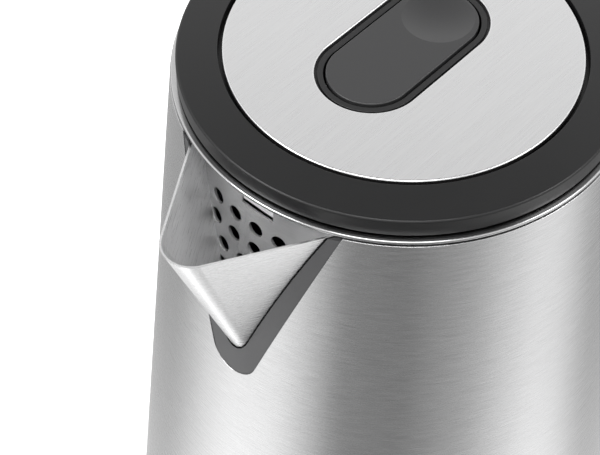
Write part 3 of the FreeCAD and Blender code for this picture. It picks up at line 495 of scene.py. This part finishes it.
trimSet = {"half": 27.7, "slope": 0.319, "round": 8.1, "recess": 0.2, "fit": 0.1, "edge": 0.12}
trimFoot = spoutSet["lip"] - trimSet["half"] / trimSet["slope"]
trim = lathe("spoutTrim", [
    (potOuter(trimFoot) + trimSet["fit"], trimFoot, 0), (bodyRadius(trimFoot) - trimSet["recess"], trimFoot, 0),
    (bodyRadius(spoutSet["lip"]) - trimSet["recess"], spoutSet["lip"], 0),
    (potOuter(spoutSet["lip"]) + trimSet["fit"], spoutSet["lip"], 0)])
carve(trim, vee("trimVee", trimSet["half"], spoutSet["lip"], trimSet["slope"], trimSet["round"]), "INTERSECT")
carve(trim, spoutCore("spoutGap", spoutSet["line"], spoutSet["over"]))
carve(trim, potBlock("potBlock"))
soften(trim, trimSet["edge"], 2, 40)
place(trim, "kettle", "trim_grey", "spout_trim")
print("stage: trim")

filterSet = {
    "top": 216.5, "half": 24.5, "slope": 0.32, "round": 8.0, "edge": 0.1,
    "hole": 2.4, "first": 210.6, "pitch": 7.7, "angle": 7.6, "punch": 80.0,
    "rows": [(-2, -1, 0, 1, 2), (-2, -1, 0, 1, 2), (-1.5, -0.5, 0.5, 1.5),
             (-1.5, -0.5, 0.5, 1.5), (-1, 0, 1), (-0.5, 0.5)],
}


def filterWindow(name):
    return vee(name, filterSet["half"], filterSet["top"], filterSet["slope"], filterSet["round"])


filterFoot = filterSet["top"] - filterSet["half"] / filterSet["slope"]
panel = lathe("spoutFilter", [
    (potInner(filterFoot), filterFoot, 0), (potOuter(filterFoot), filterFoot, 0),
    (potOuter(filterSet["top"]), filterSet["top"], 0), (potInner(filterSet["top"]), filterSet["top"], 0)])
carve(panel, filterWindow("filterVee"), "INTERSECT")
punches = []
for row, spots in enumerate(filterSet["rows"]):
    z = filterSet["first"] - row * filterSet["pitch"]
    for spot in spots:
        a = math.radians(spot * filterSet["angle"])
        tip = (-filterSet["punch"] * math.cos(a), -filterSet["punch"] * math.sin(a), z)
        punches.append(rodAlong("punch", filterSet["hole"], (0, 0, z), tip, 32))
only(punches[0])
for punch in punches:
    punch.select_set(True)
bpy.ops.object.join()
carve(panel, punches[0])
soften(panel, filterSet["edge"], 2, 40)
place(panel, "kettle", "pot_steel", "spout_filter")
print("stage: filter")

# pot and shell
slotSet = {"low": 216.9, "high": 223.4, "half": 5.5, "port": 4.4, "portHigh": 211.0}
p = potSet
pot = lathe("innerPot", [
    (potOuter(body["potFoot"]), body["potFoot"], 0), (potOuter(p["bend"]), p["bend"], p["bendRound"]),
    (p["neck"], p["beadFoot"], 0.2), (body["radius"], p["beadFoot"], 0.4), (body["radius"], body["rim"], 0.5),
    (p["mouth"], body["rim"], 0.25), (p["mouth"], p["beadFoot"], 0.6),
    (potInner(p["bend"]), p["innerBend"], p["bendRound"]), (potInner(body["potFoot"]), body["potFoot"], 0)])
carve(pot, filterWindow("potVee"))
carve(pot, slab("potSlot", (-75, -slotSet["half"], slotSet["low"]), (-30, slotSet["half"], slotSet["high"])))
carve(pot, rodAlong("potPort", slotSet["port"], (0, 0, slotSet["portHigh"]), (80, 0, slotSet["portHigh"])))
soften(pot, 0)
pot.data.materials.clear()
pot.data.materials.append(finish["pot_steel"])
pot.data.materials.append(beadSteel)
for face in pot.data.polygons:
    face.material_index = 1 if face.center.z > potSet["beadFrom"] * mm else 0
place(pot, "kettle", "pot_steel", "inner_pot")

shellSet = {"edge": 0.12, "steps": 256}
foot = body["shellFoot"]
top = body["shellTop"]
shell = lathe("outerShell", [
    (bodyRadius(foot), foot, 0), (bodyRadius(top), top, shellSet["edge"]),
    (bodyRadius(top) - body["wall"], top, 0.2), (bodyRadius(foot) - body["wall"], foot, 0)], shellSet["steps"])
rise = body["shellTop"] + body["beadHigh"] - spoutSet["lip"]
grow = trimSet["fit"] / math.cos(math.atan(trimSet["slope"]))
carve(shell, vee("shellVee", trimSet["half"] + trimSet["slope"] * rise + grow, spoutSet["lip"] + rise,
                 trimSet["slope"], trimSet["round"] + grow))
soften(shell, shellSet["edge"], 2, 50)
place(shell, "kettle", "shell_steel", "outer_shell")
print("stage: pot and shell")

# lid
ringSet = {
    "outer": 62.2, "brim": 229.5, "edge": 235.0, "gap": 50.7, "groove": 48.6, "grooveFoot": 232.4,
    "deck": 234.0, "under": 232.0, "skirtFoot": 212.0, "skirt": (53.6, 52.0, 54.0, 55.4),
    "hingeX": 70.0, "hingeZ": 231.5, "knuckle": 3.6, "bore": 1.55, "tongue": 12.0, "notch": 5.5,
    "wellLong": 28.8, "wellWide": 14.8, "windowLow": 217.3, "steps": 256,
}
g = ringSet
ring = lathe("lidRing", [
    (0, g["under"], 0), (g["skirt"][0], g["under"], 0), (g["skirt"][1], g["skirtFoot"], 0.3),
    (g["skirt"][2], g["skirtFoot"], 0.3), (g["skirt"][3], g["brim"], 0.5), (g["outer"], g["brim"], 0.5),
    (g["outer"], g["edge"], 0.8), (g["gap"], lidTop, 0.15), (g["gap"], g["grooveFoot"], 0),
    (g["groove"], g["grooveFoot"], 0), (g["groove"], g["deck"], 0), (0, g["deck"], 0)], g["steps"])


def alongHinge(name, radius, half, sides):
    ends = [(ringSet["hingeX"], y, ringSet["hingeZ"]) for y in (-half, half)]
    return rodAlong(name, radius, ends[0], ends[1], sides)


carve(ring, slab("lidTongue", (57, -g["tongue"], g["brim"]), (g["hingeX"], g["tongue"], g["deck"])), "UNION")
carve(ring, alongHinge("lidKnuckle", g["knuckle"], g["tongue"], 64), "UNION")
carve(ring, capsulePrism("lidWell", g["wellLong"], g["wellWide"], 228, cutTop, 96))
carve(ring, alongHinge("lidBore", g["bore"], 20, 32))
carve(ring, slab("lidNotch", (64.8, -g["notch"], 225), (76, g["notch"], cutTop)))
carve(ring, slab("lidWindow", (-60, -slotSet["half"], g["windowLow"]), (-47, slotSet["half"], slotSet["high"])))
soften(ring, 0, 3, 40)
place(ring, "lid", "lid_black", "lid_ring")

discSet = {"radius": 49.55, "curl": 0.6, "sheet": 1.5, "opening": 15.0}
capsuleReach = 14.0  # half the straight run of the button, its bezel and the opening
disc = lathe("lidDisc", [
    (0, lidTop - discSet["sheet"], 0), (discSet["radius"], lidTop - discSet["sheet"], 0),
    (discSet["radius"], lidTop, discSet["curl"]), (0, lidTop, 0)], 256, 8)
curl = discSet["curl"]
hole = discSet["opening"]
flare = []  # rolls the opening's edge down
for k in range(9):
    a = k * math.pi / 16
    flare.append((hole + curl * (1 - math.cos(a)), lidTop - curl + curl * math.sin(a), 0))
opening = lathe("discCut", [(0, lidTop - 3, 0), (hole, lidTop - 3, 0)] + flare
                + [(hole + curl, lidTop + 1, 0), (0, lidTop + 1, 0)], 96)
stretch(opening, capsuleReach)
carve(disc, opening)
soften(disc, 0, 3, 50)
place(disc, "lid", "disc_steel", "lid_disc")

bezelSet = {"inner": 12.6, "outer": 14.7, "lip": 14.3, "flange": 16.9, "foot": lidTop - 9, "under": lidTop - 2,
            "seat": lidTop - 1.6, "top": lidTop - 0.55}
pinAt = (-22.0, 230.0)  # x and z of the button's pin
c = bezelSet
bezel = lathe("buttonBezel", [
    (c["inner"], c["foot"], 0.3), (c["outer"], c["foot"], 0.3), (c["outer"], c["under"], 0),
    (c["flange"], c["under"], 0.1), (c["flange"], c["seat"], 0.1), (c["lip"], c["seat"], 0),
    (c["lip"], c["top"], 0.25), (c["inner"], c["top"], 0.25)], 96)
stretch(bezel, capsuleReach)
carve(bezel, rodAlong("bezelPin", 1.0, (pinAt[0], -20, pinAt[1]), (pinAt[0], 20, pinAt[1]), 24))
soften(bezel, 0)
bezel.data.materials.clear()
bezel.data.materials.append(bezelGrey)
place(bezel, "lid", "button_grey", "button_bezel")

buttonSet = {
    "half": 12.0, "plate": 2.6, "edge": 0.45, "dimple": 15.0, "dimpleRadius": 10.2, "deep": 1.9,
    "lug": 2.3, "lugHalf": 5.5, "ribX": 12.0, "ribZ": 227.7, "ribRadius": 1.5, "ribHalf": 3.2,
}
button = lathe("lidButton", [
    (0, lidTop - buttonSet["plate"], 0), (buttonSet["half"], lidTop - buttonSet["plate"], 0.2),
    (buttonSet["half"], lidTop, buttonSet["edge"]), (0, lidTop, 0)], 96, 10)
stretch(button, capsuleReach)
bowl = []  # thumb dimple: a shallow bowl with a clear rim
for k in range(21):
    r = buttonSet["dimpleRadius"] * k / 20
    bowl.append((r, lidTop + 0.005 - buttonSet["deep"] * (1 - (k / 20) ** 2), 0))
dimple = lathe("dimple", bowl + [(buttonSet["dimpleRadius"] + 0.5, lidTop + 1, 0), (0, lidTop + 1, 0)], 96)
only(dimple)
dimple.location.x = buttonSet["dimple"] * mm
bpy.ops.object.transform_apply(location=True)
carve(button, dimple)
soften(button, 0, 3, 16)
rootHigh = lidTop - buttonSet["plate"] + 0.1  # the lug and rib run a little into the plate
under = []
for label, x, foot, radius, half, sides in (
        ("Lug", pinAt[0], pinAt[1], buttonSet["lug"], buttonSet["lugHalf"], 40),
        ("Rib", buttonSet["ribX"], buttonSet["ribZ"], buttonSet["ribRadius"], buttonSet["ribHalf"], 32)):
    under.append(slab("button" + label, (x - radius, -half, foot), (x + radius, half, rootHigh)))
    under.append(rodAlong("button" + label + "End", radius, (x, -half, foot), (x, half, foot), sides))
for extra in under:
    only(extra)
    bpy.ops.object.shade_smooth_by_angle(angle=0.6)
only(button)
for extra in under:
    extra.select_set(True)
bpy.ops.object.join()
place(button, "button", "button_grey", "lid_button")

boltSet = {"tip": -potOuter(223.1), "tail": 20.5, "low": 218.9, "high": 223.1, "half": 5.2, "chamfer": 0.3,
           "lip": 2.4, "lipLow": 218.2, "slope": math.radians(35), "rampHigh": 229.5, "ribGap": 0.3,
           "sunk": 0.1}


def sideways(name, outline, half):  # (x, z) outline pushed along Y
    return prism(name, [Vector((x, -half, z)) * mm for x, z in outline], Vector((0, 2 * half, 0)) * mm)


b = boltSet
bolt = sideways("latchBolt", [
    (b["tip"], b["high"]), (b["tail"], b["high"]), (b["tail"], b["low"]), (b["tip"] + b["lip"], b["low"]),
    (b["tip"] + b["lip"], b["lipLow"]), (b["tip"] + b["chamfer"], b["lipLow"]),
    (b["tip"], b["lipLow"] + b["chamfer"])], b["half"])
reach = buttonSet["ribRadius"] + b["ribGap"]  # from the rib's centre to the ramp
fall = buttonSet["ribZ"] - reach * math.cos(b["slope"]) - b["high"]
rampFoot = buttonSet["ribX"] + reach * math.sin(b["slope"]) - fall / math.tan(b["slope"])
rampHead = rampFoot + (b["rampHigh"] - b["high"]) / math.tan(b["slope"])
sunk = b["high"] - b["sunk"]
carve(bolt, sideways("latchRamp", [
    (rampFoot, sunk), (rampFoot, b["high"]), (rampHead, b["rampHigh"]), (b["tail"], b["rampHigh"]),
    (b["tail"], sunk)], buttonSet["ribHalf"]), "UNION")
soften(bolt, 0.15, 2, 30)
place(bolt, "latch", "latch_steel", "latch_bolt")
print("stage: lid disc, bezel, button and latch")

# the pieces that keep their CAD form, merged so that they shade smoothly
shown = [name for name, node in frame["nodes"].items() if not node.hide_render]
for nodeName in shown:
    look = copyOf(nodeName)
    soften(look, 0, 3, 32)
    rider = body_of(frame["nodes"][nodeName])
    place(look, rider[0], nodeSlots[nodeName], nodeName)
    if nodeName == "latch_spring":  # the spring shortens towards its stop as the bolt is drawn in; here it only gets a mesh of its own
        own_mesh(look)
print("stage: kept forms", len(shown))

# stage: floor, light tent, lights, world, camera
cameraTurn = math.radians(-53.18)
towardsCamera = math.atan2(-0.5993, -0.8005)
floorSet = {"size": 60, "Base Color": (0.9, 0.9, 0.9, 1), "Roughness": 0.9, "Emission Color": (1, 1, 1, 1),
            "Emission Strength": 0.62}
bpy.ops.mesh.primitive_plane_add(size=floorSet["size"])
floor = bpy.context.object
floor.name = "floor"
floorMat, floorNodes, floorLink, floorShader = newMaterial("floorPale")
for socket in ("Base Color", "Roughness", "Emission Color", "Emission Strength"):
    floorShader.inputs[socket].default_value = floorSet[socket]
floor.visible_glossy = False
floor.data.materials.append(floorMat)

tentSet = {"radius": 0.60, "low": -3.0, "high": 0.26, "glowFrom": -0.80, "glowTo": -0.45, "glow": 1.9}  # metres
bpy.ops.mesh.primitive_cylinder_add(
    vertices=128, radius=tentSet["radius"], depth=tentSet["high"] - tentSet["low"], end_fill_type="NOTHING",
    location=(0, 0, (tentSet["high"] + tentSet["low"]) / 2))
tent = bpy.context.object
tent.name = "lightTent"
only(tent)
bpy.ops.object.transform_apply(location=True)
tentMat = bpy.data.materials.new("tentBands")
tentMat.use_nodes = True
tree = tentMat.node_tree
tree.nodes.clear()
coords = tree.nodes.new("ShaderNodeTexCoord")
turn = tree.nodes.new("ShaderNodeMapping")
turn.inputs["Rotation"].default_value = (0, 0, -towardsCamera)
split = tree.nodes.new("ShaderNodeSeparateXYZ")
angle = tree.nodes.new("ShaderNodeMath")
angle.operation = "ARCTAN2"
share = tree.nodes.new("ShaderNodeMapRange")
share.inputs["From Min"].default_value = -math.pi
share.inputs["From Max"].default_value = math.pi
bands = tree.nodes.new("ShaderNodeValToRGB")
glow = tree.nodes.new("ShaderNodeEmission")
out = tree.nodes.new("ShaderNodeOutputMaterial")
tree.links.new(coords.outputs["Object"], turn.inputs["Vector"])
tree.links.new(turn.outputs["Vector"], split.inputs["Vector"])
tree.links.new(split.outputs["Y"], angle.inputs[0])
tree.links.new(split.outputs["X"], angle.inputs[1])
tree.links.new(angle.outputs["Value"], share.inputs["Value"])
tree.links.new(share.outputs["Result"], bands.inputs["Fac"])
tree.links.new(bands.outputs["Color"], glow.inputs["Color"])
lowGlow = tree.nodes.new("ShaderNodeMapRange")  # the spout's overhanging face looks down here
lowGlow.inputs["From Min"].default_value = tentSet["glowFrom"]
lowGlow.inputs["From Max"].default_value = tentSet["glowTo"]
lowGlow.inputs["To Min"].default_value = tentSet["glow"]
lowGlow.inputs["To Max"].default_value = 1.0
tree.links.new(split.outputs["Z"], lowGlow.inputs["Value"])
tree.links.new(lowGlow.outputs["Result"], glow.inputs["Strength"])
tree.links.new(glow.outputs["Emission"], out.inputs["Surface"])
tentStops = [(-180, 0.62), (-128, 0.48), (-106, 0.46), (-86, 0.9), (-70, 1.25), (-45, 1.15), (-18, 0.30),
             (10, 0.25), (38, 0.50), (70, 1.15), (84, 1.1), (104, 0.5), (180, 0.62)]


def setStops(ramp, stops):  # grey stops of (position, level)
    while len(ramp.elements) < len(stops):
        ramp.elements.new(0.5)
    for stop, (at, level) in zip(ramp.elements, stops):
        stop.position = at
        stop.color = (level, level, level, 1)


setStops(bands.color_ramp, [(degrees / 360 + 0.5, level) for degrees, level in tentStops])
tent.data.materials.append(tentMat)
for ray in ("camera", "diffuse", "shadow", "transmission"):  # only mirrors see the tent
    setattr(tent, "visible_" + ray, False)


lampAim = Vector((0, 0, 0.15))


def softbox(name, azimuth, elevation, distance, size, power):
    # azimuth in degrees from the camera's direction, towards the viewer's right
    a = towardsCamera + math.radians(azimuth)
    e = math.radians(elevation)
    bpy.ops.object.light_add(type="AREA")
    light = bpy.context.object
    light.name = name
    light.data.shape = "RECTANGLE"
    light.data.size = size[0]
    light.data.size_y = size[1]
    light.data.energy = power
    away = Vector((math.cos(a) * math.cos(e), math.sin(a) * math.cos(e), math.sin(e)))
    light.location = away * distance + lampAim
    light.rotation_euler = away.to_track_quat("Z", "Y").to_euler()
    light.visible_camera = False
    light.visible_glossy = True
    return light


lamps = [
    softbox("keyLeft", -62, 42, 1.2, (0.45, 0.5), 7),
    softbox("fillRight", 80, 42, 1.3, (0.4, 0.5), 4),
    softbox("overhead", 0, 64, 1.1, (0.6, 0.4), 5),
]

world = bpy.data.worlds.new("studio")
bpy.context.scene.world = world
world.use_nodes = True
tree = world.node_tree
back = tree.nodes["Background"]  # what the camera sees
back.inputs["Color"].default_value = (1, 1, 1, 1)
paths = tree.nodes.new("ShaderNodeLightPath")
sky = tree.nodes.new("ShaderNodeTexCoord")
height = tree.nodes.new("ShaderNodeSeparateXYZ")
fade = tree.nodes.new("ShaderNodeValToRGB")
skyStops = [(0.0, 0.5), (0.30, 0.52), (0.52, 0.48), (0.66, 0.425), (0.76, 0.37), (0.88, 0.20), (1.0, 0.08)]
setStops(fade.color_ramp, skyStops)
tree.links.new(sky.outputs["Generated"], height.inputs["Vector"])
tree.links.new(height.outputs["Z"], fade.inputs["Fac"])
mirrorSky = tree.nodes.new("ShaderNodeBackground")  # what steel and gloss see
mirrorSky.inputs["Strength"].default_value = 2.6
tree.links.new(fade.outputs["Color"], mirrorSky.inputs["Color"])
softSky = tree.nodes.new("ShaderNodeBackground")  # what lights matt faces
softSky.inputs["Color"].default_value = (1, 1, 1, 1)
softSky.inputs["Strength"].default_value = 0.30
firstMix = tree.nodes.new("ShaderNodeMixShader")
secondMix = tree.nodes.new("ShaderNodeMixShader")
tree.links.new(paths.outputs["Is Glossy Ray"], firstMix.inputs["Fac"])
tree.links.new(softSky.outputs["Background"], firstMix.inputs[1])
tree.links.new(mirrorSky.outputs["Background"], firstMix.inputs[2])
tree.links.new(paths.outputs["Is Camera Ray"], secondMix.inputs["Fac"])
tree.links.new(firstMix.outputs["Shader"], secondMix.inputs[1])
tree.links.new(back.outputs["Background"], secondMix.inputs[2])
tree.links.new(secondMix.outputs["Shader"], tree.nodes["World Output"].inputs["Surface"])

lens = {  # at and middle are in pixels of the picture: where the lid's centre shows, and the picture's centre
    "focal": 99.0, "sensor": 36.0, "pixels": 1650.0, "distance": 0.4528, "elevation": 43.70, "roll": -3.94,
    "at": (403.55, 44.95), "middle": (300.0, 227.5),
}
e = math.radians(lens["elevation"])
away = Vector((0, -math.cos(e), math.sin(e))) * lens["distance"]
forward = -away.normalized()
right = Vector((1, 0, 0))
up = right.cross(forward)
tilt = Matrix.Rotation(math.radians(lens["roll"]), 3, forward)
rows = [tilt @ right, tilt @ up, forward]
sideStep = (lens["at"][0] - lens["middle"][0]) / lens["pixels"]
downStep = (lens["at"][1] - lens["middle"][1]) / lens["pixels"]
aim = Vector((sideStep, -downStep, 1)).normalized()
swing = aim.rotation_difference(Vector((0, 0, 1))).to_matrix()
rows = [sum((rows[j] * swing[j][i] for j in range(3)), Vector((0, 0, 0))) for i in range(3)]
spinZ = Matrix.Rotation(cameraTurn, 3, "Z")
rows = [spinZ @ r for r in rows]
spot = spinZ @ away + Vector((0, 0, lidTop * mm))
cameraData = bpy.data.cameras.new("camera")
cameraData.lens = lens["focal"]
cameraData.sensor_width = lens["sensor"]
cameraData.clip_start = 0.01
camera = bpy.data.objects.new("camera", cameraData)
bpy.context.scene.collection.objects.link(camera)
axes = [rows[0], rows[1], -rows[2]]
camera.matrix_world = Matrix([[axes[c][r] for c in range(3)] + [spot[r]] for r in range(3)] + [[0, 0, 0, 1]])
bpy.context.scene.camera = camera
bpy.context.scene.view_settings.view_transform = "Standard"
print("stage: light and camera")
